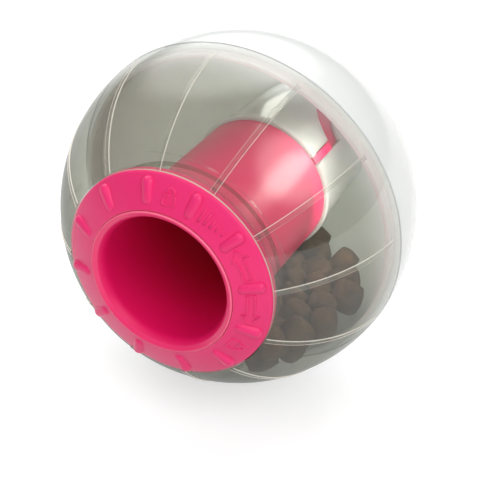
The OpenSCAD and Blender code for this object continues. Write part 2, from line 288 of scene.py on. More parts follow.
# Treats: small baked kibble, pillow shaped with a pinched middle, piled loose in
# the bottom of the ball. One is modelled and copied to the place of each solid
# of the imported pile, turned at random about its own middle.
KIBBLE_W = 8.6 * MM
KIBBLE_FLAT = 0.8
KIBBLE_CUTS = 4
KIBBLE_ROUND = 0.55
KIBBLE_PINCH = 0.6 * MM
KIBBLE_LUMP = 0.5 * MM
LUMP_SIZE = 2.4 * MM
KIBBLE_SEED = 7
BROWN_SIZE = 5 * MM
CRUMB_SIZE = 0.9 * MM
CRUMB_DEPTH = 0.35 * MM
DARK_BROWN = (0.031, 0.016, 0.0065)
LIGHT_BROWN = (0.165, 0.09, 0.035)

packed_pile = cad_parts["treats"].copy()
packed_pile.data = packed_pile.data.copy()
bpy.context.scene.collection.objects.link(packed_pile)
packed_pile.parent = None
bpy.ops.object.select_all(action="DESELECT")
packed_pile.select_set(True)
bpy.context.view_layer.objects.active = packed_pile
bpy.ops.object.mode_set(mode="EDIT")
bpy.ops.mesh.select_all(action="SELECT")
bpy.ops.mesh.remove_doubles(threshold=WELD)
bpy.ops.mesh.separate(type="LOOSE")
bpy.ops.object.mode_set(mode="OBJECT")
places = []
for solid in list(bpy.context.selected_objects):
    corners = [Vector(c) for c in solid.bound_box]
    places.append((corners[0] + corners[6]) / 2)
    bpy.data.objects.remove(solid)
places.sort(key=lambda p: (round(p.z, 4), round(p.y, 4), round(p.x, 4)))

bpy.ops.mesh.primitive_cube_add(size=KIBBLE_W, location=(0, 0, 0))
kibble = bpy.context.object
bpy.ops.object.mode_set(mode="EDIT")
bpy.ops.mesh.subdivide(number_cuts=KIBBLE_CUTS)
bpy.ops.transform.tosphere(value=KIBBLE_ROUND)
bpy.ops.transform.resize(value=(1, 1, KIBBLE_FLAT))
bpy.ops.object.mode_set(mode="OBJECT")
for v in kibble.data.vertices:
    off_middle = math.hypot(v.co.x, v.co.y) / (KIBBLE_W / 2)
    if abs(v.co.z) > KIBBLE_W / 4:
        v.co.z -= math.copysign(KIBBLE_PINCH * max(0, 1 - off_middle**2), v.co.z)
lumps = bpy.data.textures.new("kibble_lumps", "CLOUDS")
lumps.noise_scale = LUMP_SIZE
swell = kibble.modifiers.new("lumps", "DISPLACE")
swell.texture = lumps
swell.texture_coords = "LOCAL"
swell.strength = KIBBLE_LUMP
swell.mid_level = 0.5
bpy.ops.object.modifier_apply(modifier=swell.name)

chance = random.Random(KIBBLE_SEED)
pieces_of_kibble = []
for place in places:
    copy = kibble.copy()
    copy.data = kibble.data.copy()
    bpy.context.scene.collection.objects.link(copy)
    turn = Matrix.Rotation(chance.uniform(0, math.tau), 4, "Z")
    tip_angle = chance.uniform(0, math.tau)
    tip = Matrix.Rotation(tip_angle, 4, Vector((chance.uniform(-1, 1), chance.uniform(-1, 1), 0.3)))
    copy.data.transform(Matrix.Translation(place) @ tip @ turn)
    pieces_of_kibble.append(copy)
bpy.data.objects.remove(kibble)
bpy.ops.object.select_all(action="DESELECT")
for copy in pieces_of_kibble:
    copy.select_set(True)
bpy.context.view_layer.objects.active = pieces_of_kibble[0]
bpy.ops.object.join()
kibble_pile = bpy.context.object
kibble_pile.name = "kibble_pile"
bpy.ops.object.shade_smooth()

baked = bpy.data.materials.new("baked_kibble")
baked.use_nodes = True
nodes, links = baked.node_tree.nodes, baked.node_tree.links
shader = nodes["Principled BSDF"]
shader.inputs["Roughness"].default_value = 0.75
place = nodes.new("ShaderNodeTexCoord")
patches = nodes.new("ShaderNodeTexNoise")
patches.inputs["Scale"].default_value = 1 / BROWN_SIZE
patches.inputs["Detail"].default_value = 6
patches.inputs["Roughness"].default_value = 0.7
links.new(place.outputs["Object"], patches.inputs["Vector"])
browns = nodes.new("ShaderNodeValToRGB")
for stop, position, brown in zip(browns.color_ramp.elements, (0.3, 0.72), (DARK_BROWN, LIGHT_BROWN)):
    stop.position = position
    stop.color = (*brown, 1)
links.new(patches.outputs["Fac"], browns.inputs["Fac"])
links.new(browns.outputs["Color"], shader.inputs["Base Color"])
crumb = nodes.new("ShaderNodeTexNoise")
crumb.inputs["Scale"].default_value = 1 / CRUMB_SIZE
crumb.inputs["Detail"].default_value = 4
links.new(place.outputs["Object"], crumb.inputs["Vector"])
relief = nodes.new("ShaderNodeBump")
relief.inputs["Strength"].default_value = 0.5
relief.inputs["Distance"].default_value = CRUMB_DEPTH
links.new(crumb.outputs["Fac"], relief.inputs["Height"])
links.new(relief.outputs["Normal"], shader.inputs["Normal"])
kibble_pile.data.materials.append(baked)
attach(kibble_pile, "ball")
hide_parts("treats")

# Front shell: the smoky clear half of the ball, moulded with a seat for the ring
# and a collar inside it. The collar's lip has three notches that let the ring's
# lugs through, and twelve low ribs run back from the seat towards the seam.
SEAT_R = 52.6 * MM
SEAT_EDGE = 34.2 * MM
SEAT_BACK_R = 50.6 * MM
SEAT_LINE = 0.6 * MM
SEAT_BACK_EDGE = 36.2 * MM
WALL_EDGE = SEAT_BACK_EDGE + 1 * MM
COLLAR_LIP = 28.2 * MM
COLLAR_IN = 29.7 * MM
COLLAR_OUT = 31.3 * MM
LIP_BACK = 41.4 * MM
COLLAR_BACK = 32.0 * MM
LUG_TURNS = (80, 200, 320)
NOTCH_HALF = 6.1 * MM
NOTCH_IN = COLLAR_LIP - 2 * MM
NOTCH_FROM = LIP_BACK - 1 * MM
LOCK_TURN = 30
STOP_OFF = 13
STOP_SPAN = 4
STOP_IN = 28.5 * MM
STOP_OUT = 30.5 * MM
STOP_FROM = LIP_BACK - 2.5 * MM
STOP_TO = LIP_BACK + 1 * MM
RIB_COUNT = 12
RIB_TURN = 5.8
RIB_RISE = 0.3 * MM
RIB_SINK = 0.02 * MM
RIB_BASE = 1.8 * MM
RIB_TOP = 1.5 * MM
RIB_FADES = (26, 86)
RIB_START = 38.9
RIB_CUT = 1
RIB_STEPS = 48
MIRROR_ROUGH = 0.06
# The paler tint and extra milk towards the seam are painted light.
SEAM_PALE = 19.0 * MM
SEAM_TINT = (0.86, 0.865, 0.84)
SEAM_MILK = (0.84, 0.85, 0.82)
SEAM_MORE_MILK = 0.22

front_outline = (
    [(BALL_R - SEAM_CHAMFER, 0)]
    + arc(BALL_R, 90 - SEAM_ANGLE, polar(BALL_R, SEAT_EDGE), 60)
    + [(SEAT_EDGE, math.sqrt(BALL_R**2 - SEAT_EDGE**2) - SEAT_LINE)]
    + arc(SEAT_R, polar(SEAT_R, SEAT_EDGE), polar(SEAT_R, COLLAR_LIP), 8)
    + [(COLLAR_LIP, LIP_BACK), (COLLAR_IN, LIP_BACK), (COLLAR_IN, COLLAR_BACK), (COLLAR_OUT, COLLAR_BACK)]
    + arc(SEAT_BACK_R, polar(SEAT_BACK_R, COLLAR_OUT), polar(SEAT_BACK_R, SEAT_BACK_EDGE), 6)
    + arc(INNER_R, polar(INNER_R, WALL_EDGE), 90, 60)
)
front_half = turned("front_half", front_outline)
notch = [(-NOTCH_HALF, NOTCH_FROM), (NOTCH_HALF, NOTCH_FROM), (NOTCH_HALF, BALL_R), (-NOTCH_HALF, BALL_R)]
for turn in LUG_TURNS:
    combine(front_half, cutter(notch, turn, NOTCH_IN, COLLAR_IN), "DIFFERENCE")


def curved_block(turn, span, inner, outer, back, front):
    """A block curved round the ball's axis, between two distances from it and two heights."""
    bpy.ops.mesh.primitive_plane_add(size=MM, location=(0, 0, 0))
    block = bpy.context.object
    corners = [(inner, back), (outer, back), (outer, front), (inner, front)]
    for v, (distance, height) in zip((block.data.vertices[i] for i in (0, 1, 3, 2)), corners):
        v.co = (distance, -height, 0)
    bpy.ops.object.mode_set(mode="EDIT")
    bpy.ops.mesh.select_all(action="SELECT")
    steps = max(3, round(span / 2))
    bpy.ops.mesh.spin(steps=steps, angle=math.radians(span), center=(0, 0, 0), axis=(0, 1, 0))
    bpy.ops.mesh.select_all(action="SELECT")
    bpy.ops.mesh.normals_make_consistent(inside=False)
    bpy.ops.object.mode_set(mode="OBJECT")
    across = sum((v.co.normalized() for v in block.data.vertices), Vector())
    lean = math.degrees(math.atan2(across.z, across.x))
    block.data.transform(Matrix.Rotation(-math.radians(turn - lean), 4, "Y"))
    return block


for turn in LUG_TURNS:
    for stop_turn in (turn + STOP_OFF, turn - LOCK_TURN - STOP_OFF):
        stop = curved_block(stop_turn, STOP_SPAN, STOP_IN, STOP_OUT, STOP_FROM, STOP_TO)
        combine(front_half, stop, "UNION")
bpy.ops.object.shade_smooth_by_angle(angle=CREASE)


def clear_plastic(name, tint, edge_tint, lamp_tint, haze, haze_shares, gloss_shares):
    """A clear plastic that darkens towards its edges, where light goes a longer way through the wall."""
    material = bpy.data.materials.new(name)
    material.use_nodes = True
    nodes, links = material.node_tree.nodes, material.node_tree.links
    nodes.remove(nodes["Principled BSDF"])
    edge = nodes.new("ShaderNodeLayerWeight")
    edge.inputs["Blend"].default_value = 0.5
    depth = nodes.new("ShaderNodeMix")
    depth.name = "wall depth"
    depth.data_type = "RGBA"
    depth.inputs["A"].default_value = (*tint, 1)
    depth.inputs["B"].default_value = (*edge_tint, 1)
    links.new(edge.outputs["Facing"], depth.inputs["Factor"])
    see_through = nodes.new("ShaderNodeBsdfTransparent")
    see_through.name = "see through"
    links.new(depth.outputs["Result"], see_through.inputs["Color"])
    milk = nodes.new("ShaderNodeBsdfDiffuse")
    milk.name = "milk"
    milk.inputs["Color"].default_value = (*haze, 1)
    veil = nodes.new("ShaderNodeMapRange")
    veil.name = "veil"
    veil.inputs["To Min"].default_value, veil.inputs["To Max"].default_value = haze_shares
    links.new(edge.outputs["Facing"], veil.inputs["Value"])
    body = nodes.new("ShaderNodeMixShader")
    body.name = "body"
    links.new(veil.outputs["Result"], body.inputs["Fac"])
    links.new(see_through.outputs["BSDF"], body.inputs[1])
    links.new(milk.outputs["BSDF"], body.inputs[2])
    mirror = nodes.new("ShaderNodeBsdfGlossy")
    mirror.inputs["Roughness"].default_value = MIRROR_ROUGH
    curve = nodes.new("ShaderNodeMath")
    curve.operation = "POWER"
    curve.inputs[1].default_value = 5
    links.new(edge.outputs["Facing"], curve.inputs[0])
    share = nodes.new("ShaderNodeMapRange")
    share.inputs["To Min"].default_value, share.inputs["To Max"].default_value = gloss_shares
    links.new(curve.outputs["Value"], share.inputs["Value"])
    surface = nodes.new("ShaderNodeMixShader")
    links.new(share.outputs["Result"], surface.inputs["Fac"])
    links.new(body.outputs["Shader"], surface.inputs[1])
    links.new(mirror.outputs["BSDF"], surface.inputs[2])
    lit = nodes.new("ShaderNodeBsdfTransparent")
    lit.inputs["Color"].default_value = (*lamp_tint, 1)
    ray = nodes.new("ShaderNodeLightPath")
    from_lamp = nodes.new("ShaderNodeMath")
    from_lamp.operation = "MAXIMUM"
    links.new(ray.outputs["Is Shadow Ray"], from_lamp.inputs[0])
    links.new(ray.outputs["Is Diffuse Ray"], from_lamp.inputs[1])
    choice = nodes.new("ShaderNodeMixShader")
    links.new(from_lamp.outputs["Value"], choice.inputs["Fac"])
    links.new(surface.outputs["Shader"], choice.inputs[1])
    links.new(lit.outputs["BSDF"], choice.inputs[2])
    links.new(choice.outputs["Shader"], nodes["Material Output"].inputs["Surface"])
    return material


smoky = clear_plastic(
    "smoky_clear", tint=(0.77, 0.785, 0.685), edge_tint=(0.19, 0.205, 0.155), lamp_tint=(0.94, 0.945, 0.925),
    haze=(0.62, 0.64, 0.57), haze_shares=(0.035, 0.07), gloss_shares=(0.07, 0.6),
)
inside_clear = clear_plastic(
    "inside_clear", tint=(0.99, 0.99, 0.985), edge_tint=(0.98, 0.98, 0.975), lamp_tint=(0.99, 0.99, 0.99),
    haze=(0.62, 0.64, 0.57), haze_shares=(0.0, 0.02), gloss_shares=(0.02, 0.06),
)
# A dark clear for the seam's chamfer: painted shade along the seam's line.
front_seam_painted_shade = clear_plastic(
    "front_seam_painted_shade", tint=(0.34, 0.35, 0.33), edge_tint=(0.28, 0.29, 0.27), lamp_tint=(0.6, 0.6, 0.58),
    haze=(0.32, 0.33, 0.3), haze_shares=(0.4, 0.5), gloss_shares=(0.03, 0.08),
)
rib_clear = clear_plastic(
    "rib_clear", tint=(0.99, 0.99, 0.98), edge_tint=(0.95, 0.95, 0.94), lamp_tint=(0.99, 0.99, 0.99),
    haze=(0.62, 0.64, 0.57), haze_shares=(0.02, 0.1), gloss_shares=(0.04, 0.6),
)
# A pale cream clear for the ribs' sides and the step round the ring's seat: a painted highlight along those
# edges.
painted_edge_highlight = clear_plastic(
    "painted_edge_highlight", tint=(0.96, 0.94, 0.91), edge_tint=(0.93, 0.91, 0.87), lamp_tint=(0.99, 0.99, 0.99),
    haze=(0.95, 0.9, 0.8), haze_shares=(0.55, 0.65), gloss_shares=(0.04, 0.6),
)

# Painted light: towards the seam the smoky wall is made paler and milkier, so it looks more brightly lit
# there.
nodes, links = smoky.node_tree.nodes, smoky.node_tree.links
place = nodes.new("ShaderNodeTexCoord")
split = nodes.new("ShaderNodeSeparateXYZ")
links.new(place.outputs["Object"], split.inputs["Vector"])
to_seam = nodes.new("ShaderNodeMapRange")
to_seam.interpolation_type = "SMOOTHSTEP"
to_seam.inputs["From Min"].default_value = -SEAM_PALE
to_seam.inputs["From Max"].default_value = 0
links.new(split.outputs["Y"], to_seam.inputs["Value"])
seam_painted_light = nodes.new("ShaderNodeMix")
seam_painted_light.data_type = "RGBA"
seam_painted_light.inputs["B"].default_value = (*SEAM_TINT, 1)
links.new(to_seam.outputs["Result"], seam_painted_light.inputs["Factor"])
links.new(nodes["wall depth"].outputs["Result"], seam_painted_light.inputs["A"])
links.new(seam_painted_light.outputs["Result"], nodes["see through"].inputs["Color"])
seam_painted_milk = nodes.new("ShaderNodeMix")
seam_painted_milk.data_type = "RGBA"
seam_painted_milk.inputs["A"].default_value = nodes["milk"].inputs["Color"].default_value
seam_painted_milk.inputs["B"].default_value = (*SEAM_MILK, 1)
links.new(to_seam.outputs["Result"], seam_painted_milk.inputs["Factor"])
links.new(seam_painted_milk.outputs["Result"], nodes["milk"].inputs["Color"])
more_milk = nodes.new("ShaderNodeMath")
more_milk.operation = "MULTIPLY_ADD"
more_milk.inputs[1].default_value = SEAM_MORE_MILK
links.new(to_seam.outputs["Result"], more_milk.inputs[0])
links.new(nodes["veil"].outputs["Result"], more_milk.inputs[2])
links.new(more_milk.outputs["Value"], nodes["body"].inputs["Fac"])
for finish in (smoky, inside_clear, painted_edge_highlight, front_seam_painted_shade):
    front_half.data.materials.append(finish)
# Material 0 is on the outside and the collar's back, 3, a dark clear that paints shade along the seam, on the
# chamfer at the seam, and 2, a pale cream clear that paints a highlight, on the step round the ring's seat.
for face in front_half.data.polygons:
    away = face.center.length
    high = -face.center.y
    if high < SEAM_CHAMFER + FACE_ROOM and away > BALL_R - SEAM_CHAMFER:
        face.material_index = 3
    elif min(abs(away - BALL_R), abs(high - COLLAR_BACK), high) < 2 * FACE_ROOM:
        face.material_index = 0
    elif away > BALL_R - SEAT_LINE and abs(face.normal.y) < 0.3:
        face.material_index = 2
    else:
        face.material_index = 1
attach(front_half, "ball")
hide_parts("front_shell")


def rib(turn):
    """One low bar on the shell, highest near the ring and fading towards the seam."""
    middle = math.radians(sum(RIB_FADES) / 2)
    half = math.radians((RIB_FADES[1] - RIB_FADES[0]) / 2)
    top = BALL_R + RIB_RISE
    shift = (top**2 - BALL_R**2) / (2 * (top - BALL_R * math.cos(half)))
    hub = Vector((shift * math.sin(middle), -shift * math.cos(middle), 0))

    def bearing(angle):
        """Angle at the bar's own hub of the place that lies at that polar angle of the ball."""
        return math.atan2(BALL_R * math.cos(angle) + hub.y, BALL_R * math.sin(angle) - hub.x)

    start, end = bearing(math.radians(RIB_START)), bearing(math.radians(RIB_FADES[1] - RIB_CUT))
    along = Vector((math.cos(start), -math.sin(start), 0))
    across = Vector((0, 0, 1))
    high = top - shift
    low = high - RIB_RISE - RIB_SINK
    corners = [(low, -RIB_BASE / 2), (high, -RIB_TOP / 2), (high, RIB_TOP / 2), (low, RIB_BASE / 2)]
    points = [hub + along * reach + across * side for reach, side in corners]
    bpy.ops.mesh.primitive_plane_add(size=MM, location=(0, 0, 0))
    bar = bpy.context.object
    bar.name = f"shell_rib_{turn:.0f}"
    bpy.ops.object.mode_set(mode="EDIT")
    bpy.ops.mesh.merge(type="CENTER")
    bpy.ops.transform.translate(value=points[0])
    for here, there in zip(points, points[1:]):
        bpy.ops.mesh.extrude_region_move(TRANSFORM_OT_translate={"value": there - here})
    bpy.ops.mesh.select_all(action="SELECT")
    bpy.ops.mesh.edge_face_add()
    bpy.ops.mesh.spin(steps=RIB_STEPS, angle=end - start, center=hub, axis=(0, 0, 1))
    bpy.ops.mesh.select_all(action="SELECT")
    bpy.ops.mesh.normals_make_consistent(inside=False)
    bpy.ops.object.mode_set(mode="OBJECT")
    bar.data.materials.append(rib_clear)
    bar.data.materials.append(painted_edge_highlight)
    # The ribs' sides take the painted highlight, and their other faces the plain clear.
    for face in bar.data.polygons:
        face.material_index = 1 if abs(face.normal.z) > 0.5 else 0
    bar.data.transform(Matrix.Rotation(-math.radians(turn), 4, "Y"))
    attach(bar, "ball")


for number in range(RIB_COUNT):
    rib(RIB_TURN + number * 360 / RIB_COUNT)

# Dispensing tube: a glossy pink moulding, straight inside, with a bead round its
# mouth, a neck for the ring and a thin tail that slides into the socket. Three
# keys on the tail run in the socket's slots, and a window lets the treats in.
TUBE_BORE = 20.6 * MM
TUBE_MOUTH = 21.8 * MM
MOUTH_DROP = 0.7 * MM
TUBE_FRONT = 49.1 * MM
FLARE_FRONT = TUBE_FRONT - MOUTH_DROP - 0.12 * MM
FLARE_STEP = 0.4 * MM
BEAD_R = 23.6 * MM
BEAD_ROUND = 0.55 * MM
BEAD_IN_R = BEAD_R - 0.6 * MM
BEAD_IN_FRONT = TUBE_FRONT - 0.02 * MM
FLARE_EDGE_R = TUBE_MOUTH + 0.25 * MM
FLARE_EDGE_FRONT = TUBE_FRONT - MOUTH_DROP + 0.05 * MM
HIGHLIGHT_FROM_R = BEAD_R - 0.3 * MM
HIGHLIGHT_BACK = TUBE_FRONT - 0.9 * MM
NECK_R = 23.1 * MM
NECK_BACK = 45.0 * MM
TUBE_OUT_FRONT = 23.65 * MM
TUBE_OUT_BACK = 22.2 * MM
TUBE_STOP = -14.75 * MM
TAIL_FRONT_R = 20.9 * MM
TAIL_BACK_R = 18.84 * MM
TAIL_BACK = -42.0 * MM
TAIL_WALL = 1.3 * MM
KEY_HALF = 1.15 * MM
KEY_FRONT = -15.25 * MM
KEY_BACK = -26.25 * MM
KEY_IN = 19.6 * MM
KEY_OUT = 22.4 * MM
TUBE_EDGE = 0.3 * MM
SHOULDER_EDGE = 0.2 * MM
TAPER_FROM = TUBE_STOP + 2.9 * MM
TAPER_TO = TUBE_STOP - 1.9 * MM
TAIL_IN_R = TAIL_FRONT_R - TAIL_WALL - 0.13 * MM
PINK_GRAIN = 0.5 * MM
# The tunnel's pinks are painted shade: darker than the tube's outside, and darker still further in.
BORE_FRONT = (0.8, 0.004, 0.125)
BORE_DEEP = (0.56, 0.003, 0.036)
BORE_DEEP_AT = 12 * MM

bead = bow(BEAD_ROUND, (BEAD_R - BEAD_ROUND, TUBE_FRONT - BEAD_ROUND), range(165, 29, -15))
flare = [
    (TUBE_BORE + (TUBE_MOUTH - TUBE_BORE) * (1 - i / 8) ** 2, FLARE_FRONT - i * FLARE_STEP)
    for i in range(9)
]
tube_outline = (
    [(TAIL_BACK_R - TAIL_WALL, TAIL_BACK), (TAIL_BACK_R - TUBE_EDGE, TAIL_BACK)]
    + [(TAIL_BACK_R, TAIL_BACK + TUBE_EDGE), (TAIL_FRONT_R, TUBE_STOP)]
    + [(TUBE_OUT_BACK - TUBE_EDGE, TUBE_STOP), (TUBE_OUT_BACK, TUBE_STOP + TUBE_EDGE)]
    + [(TUBE_OUT_FRONT, NECK_BACK - SHOULDER_EDGE), (TUBE_OUT_FRONT - SHOULDER_EDGE, NECK_BACK)]
    + [(NECK_R, NECK_BACK), (NECK_R, TUBE_FRONT - 2 * BEAD_ROUND)]
    + bead
    + [(BEAD_IN_R, BEAD_IN_FRONT), (FLARE_EDGE_R, FLARE_EDGE_FRONT)]
    + flare
    + [(TUBE_BORE, TAPER_FROM), (TAIL_IN_R, TAPER_TO)]
)
pink_tunnel = turned("pink_tunnel", tube_outline)
combine(pink_tunnel, cutter(window_outline(WINDOW_W, WINDOW_H), WINDOW_TURN), "DIFFERENCE")
key_outline = [(-KEY_HALF, KEY_BACK), (KEY_HALF, KEY_BACK), (KEY_HALF, KEY_FRONT), (-KEY_HALF, KEY_FRONT)]
for turn in SLOT_TURNS:
    combine(pink_tunnel, cutter(key_outline, turn, KEY_IN, KEY_OUT), "UNION")
bpy.ops.object.shade_smooth_by_angle(angle=CREASE)
pink_gloss = moulded("pink_gloss", (0.84, 0.012, 0.14), 0.33, PINK_GRAIN, 0.02)
pink_gloss.node_tree.nodes["Principled BSDF"].inputs["Specular IOR Level"].default_value = 0.8
# The paler pink on the mouth's bead and on the ring's rebate bevel is a painted highlight.
pink_painted_highlight = moulded("pink_painted_highlight", (0.92, 0.15, 0.28), 0.4, PINK_GRAIN, 0.02)
# The tunnel's inside is painted shade: a darker pink that darkens further from the mouth.
pink_bore_painted_shade = moulded("pink_bore_painted_shade", BORE_FRONT, 0.45, PINK_GRAIN, 0.02)
nodes, links = pink_bore_painted_shade.node_tree.nodes, pink_bore_painted_shade.node_tree.links
place = nodes.new("ShaderNodeTexCoord")
split = nodes.new("ShaderNodeSeparateXYZ")
links.new(place.outputs["Object"], split.inputs["Vector"])
inwards = nodes.new("ShaderNodeMapRange")
inwards.inputs["From Min"].default_value = -TUBE_FRONT
inwards.inputs["From Max"].default_value = -BORE_DEEP_AT
links.new(split.outputs["Y"], inwards.inputs["Value"])
shade_inwards = nodes.new("ShaderNodeMix")
shade_inwards.data_type = "RGBA"
shade_inwards.inputs["A"].default_value = (*BORE_FRONT, 1)
shade_inwards.inputs["B"].default_value = (*BORE_DEEP, 1)
links.new(inwards.outputs["Result"], shade_inwards.inputs["Factor"])
links.new(shade_inwards.outputs["Result"], nodes["Principled BSDF"].inputs["Base Color"])
for finish in (pink_gloss, pink_painted_highlight, pink_bore_painted_shade):
    pink_tunnel.data.materials.append(finish)
# Material 1, a paler pink that paints a highlight, is on the bead round the mouth, and 2, a darker pink that
# paints shade, deepening inwards, in the tunnel.
for face in pink_tunnel.data.polygons:
    off_axis = math.hypot(face.center.x, face.center.z)
    high = -face.center.y
    if off_axis > HIGHLIGHT_FROM_R and high > HIGHLIGHT_BACK:
        face.material_index = 1
    elif off_axis < TUBE_MOUTH + FACE_ROOM / 2 and high > TUBE_STOP and face.normal.y > -0.7:
        face.material_index = 2
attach(pink_tunnel, "tube")
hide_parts("dispensing_tube")

# Grip ring: the pink ring that locks the tunnel. Its domed flange lies in the
# shell's seat, twelve raised grips stand on the face, and a skirt with three lugs
# goes down into the collar. Its hub runs on the tube's neck.
RING_R = 33.9 * MM
ROUND_FROM = RING_R - 0.55 * MM
ROUND_TO = RING_R - 0.2 * MM
ROUND_BULGE = 0.06 * MM
ROUND_DROP = 0.35 * MM
RING_FACE_R = 63.26 * MM
RING_FACE_MID = -10.1 * MM
RING_HUB = 23.2 * MM
RING_HUB_BACK = 45.1 * MM
RING_HUB_FRONT = 47.9 * MM
RING_REBATE = 23.7 * MM
REBATE_EDGE = 0.25 * MM
FACE_FROM = 24.8 * MM
FACE_TO = 32.6 * MM
RING_UNDER_R = 52.9 * MM
SKIRT_OUT = 27.9 * MM
SKIRT_IN = 26.1 * MM
SKIRT_BACK = 38.0 * MM
SKIRT_EDGE = 0.3 * MM
LUG_IN = SKIRT_OUT - 0.6 * MM
LUG_OUT = 29.4 * MM
LUG_BACK = 38.6 * MM
LUG_FRONT = 41.1 * MM
LUG_SPAN = 20
GRIP_COUNT = 12
GRIP_TURN = 10.4
GRIP_R = 2.0 * MM
GRIP_RISE_IN = 0.8 * MM
GRIP_RISE_OUT = 1.4 * MM
GRIP_FROM = 26.6 * MM
GRIP_TO = 31.0 * MM


def face_height(distance):
    """Height of the ring's domed face at a distance from the axis."""
    return RING_FACE_MID + math.sqrt(RING_FACE_R**2 - distance**2)


ring_outline = (
    [(RING_HUB, RING_HUB_BACK), (RING_HUB, RING_HUB_FRONT), (RING_REBATE, RING_HUB_FRONT)]
    + [(RING_REBATE, face_height(RING_REBATE) - REBATE_EDGE)]
    + [(RING_REBATE + REBATE_EDGE, face_height(RING_REBATE + REBATE_EDGE))]
    + arc(RING_FACE_R, polar(RING_FACE_R, FACE_FROM), polar(RING_FACE_R, FACE_TO), 10, RING_FACE_MID)
    + [(ROUND_FROM, face_height(ROUND_FROM)), (ROUND_TO, face_height(RING_R) + ROUND_BULGE)]
    + [(RING_R, face_height(RING_R) - ROUND_DROP)]
    + arc(RING_UNDER_R, polar(RING_UNDER_R, RING_R), polar(RING_UNDER_R, SKIRT_OUT), 8)
    + [(SKIRT_OUT, SKIRT_BACK + SKIRT_EDGE), (SKIRT_OUT - SKIRT_EDGE, SKIRT_BACK)]
    + [(SKIRT_IN, SKIRT_BACK), (SKIRT_IN, RING_HUB_BACK)]
)
grip_ring = turned("locking_ring", ring_outline)


def grip(turn):
    """A bar with round ends that stands out of the ring's face, along a radius."""
    bpy.ops.mesh.primitive_uv_sphere_add(segments=28, ring_count=13, radius=GRIP_R, location=(0, 0, 0))
    bar = bpy.context.object
    bar.data.transform(Matrix.Rotation(math.radians(90), 4, "Y"))
    inner = Vector((GRIP_FROM, -face_height(GRIP_FROM) + GRIP_R - GRIP_RISE_IN, 0))
    outer = Vector((GRIP_TO, -face_height(GRIP_TO) + GRIP_R - GRIP_RISE_OUT, 0))
    for v in bar.data.vertices:
        if v.co.x > 0:
            v.co.x += (outer - inner).length
    slope = math.atan2(outer.y - inner.y, outer.x - inner.x)
    bar.data.transform(Matrix.Translation(inner) @ Matrix.Rotation(slope, 4, "Z"))
    bar.data.transform(Matrix.Rotation(-math.radians(turn), 4, "Y"))
    return bar


for number in range(GRIP_COUNT):
    combine(grip_ring, grip(GRIP_TURN + number * 360 / GRIP_COUNT), "UNION")
for turn in LUG_TURNS:
    combine(grip_ring, curved_block(turn, LUG_SPAN, LUG_IN, LUG_OUT, LUG_BACK, LUG_FRONT), "UNION")
bpy.ops.object.shade_smooth_by_angle(angle=CREASE)
ring_pink = moulded("ring_pink", (0.82, 0.019, 0.162), 0.38, PINK_GRAIN, 0.04)
for finish in (ring_pink, pink_painted_highlight):
    grip_ring.data.materials.append(finish)
# Material 1, the paler pink of painted highlight, is on the bevel round the rebate that the tube's bead lies
# in.
for face in grip_ring.data.polygons:
    past_rebate = math.hypot(face.center.x, face.center.z) - RING_REBATE
    if -0.02 * MM < past_rebate < 0.24 * MM and -face.center.y > RING_HUB_FRONT + 0.3 * MM:
        face.material_index = 1
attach(grip_ring, "ring")
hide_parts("grip_ring")

# Marks on the ring: low raised lines moulded with its face, in the places of the
# real one's marks. Two arrows say which way the ring turns, an open and a closed
# padlock stand past their tips, and beside one tip five strokes grow in length.
MARK_LINE = 0.4 * MM
MARK_SINK = 0.02 * MM
MARK_R = 28.7 * MM
ARROW_HALF = 1.0 * MM
ARROW_HEAD = 2.3 * MM
ARROW_FROM, ARROW_TO = 5, 25
ARROW_HEAD_SPAN = 6
ARROW_STEPS = 8
OPEN_LOCK_TURN = GRIP_TURN + 75
CLOSED_LOCK_TURN = GRIP_TURN - 45
STROKE_LENGTHS = (1.2, 2.0, 2.8, 3.6, 4.4)
STROKE_TURN = GRIP_TURN + 37
STROKE_STEP = 4


def on_face(turn, distance):
    """The point on the ring's face at that turn and distance from the axis."""
    angle = math.radians(turn)
    height = face_height(distance) - MARK_SINK
    return Vector((distance * math.cos(angle), -height, distance * math.sin(angle)))


def raised_line(points, closed):
    """A round line along points on the face, which stands half out of it."""
    bpy.ops.object.select_all(action="DESELECT")
    bpy.ops.curve.primitive_nurbs_path_add(location=(0, 0, 0))
    line = bpy.context.object
    line.data.splines.clear()
    path = line.data.splines.new("POLY")
    path.points.add(len(points) - 1)
    for knot, point in zip(path.points, points):
        knot.co = (*point, 1)
    path.use_cyclic_u = closed
    line.data.use_fill_caps = not closed
    line.data.bevel_depth = MARK_LINE
    line.data.bevel_resolution = 2
    bpy.ops.object.convert(target="MESH")
    return bpy.context.object


def arrow(start, end):
    """The outline of an arrow that follows the ring round from one turn to the other."""
    way = 1 if end > start else -1
    neck = end - ARROW_HEAD_SPAN * way
    along = [start + (neck - start) * i / ARROW_STEPS for i in range(ARROW_STEPS + 1)]
    points = [on_face(turn, MARK_R + ARROW_HALF) for turn in along]
    points += [on_face(neck, MARK_R + ARROW_HEAD), on_face(end, MARK_R), on_face(neck, MARK_R - ARROW_HEAD)]
    points += [on_face(turn, MARK_R - ARROW_HALF) for turn in reversed(along)]
    return raised_line(points, True)


def padlock(turn, shackle_end):
    """The outline of a padlock: its body, and a shackle whose second leg ends at that height."""

    def place(side, height):
        """The point on the face that far beside and above the padlock's middle, in millimetres."""
        distance = MARK_R + height * MM
        return on_face(turn + math.degrees(side * MM / distance), distance)

    body = [place(side, height) for side, height in ((-1.9, -2.2), (1.9, -2.2), (1.9, 0.3), (-1.9, 0.3))]
    shackle = [(-1.2, 0.3), (-1.2, 1.3), (-0.85, 2.0), (0, 2.35), (0.85, 2.0), (1.2, 1.3), (1.2, shackle_end)]
    return [raised_line(body, True), raised_line([place(side, height) for side, height in shackle], False)]


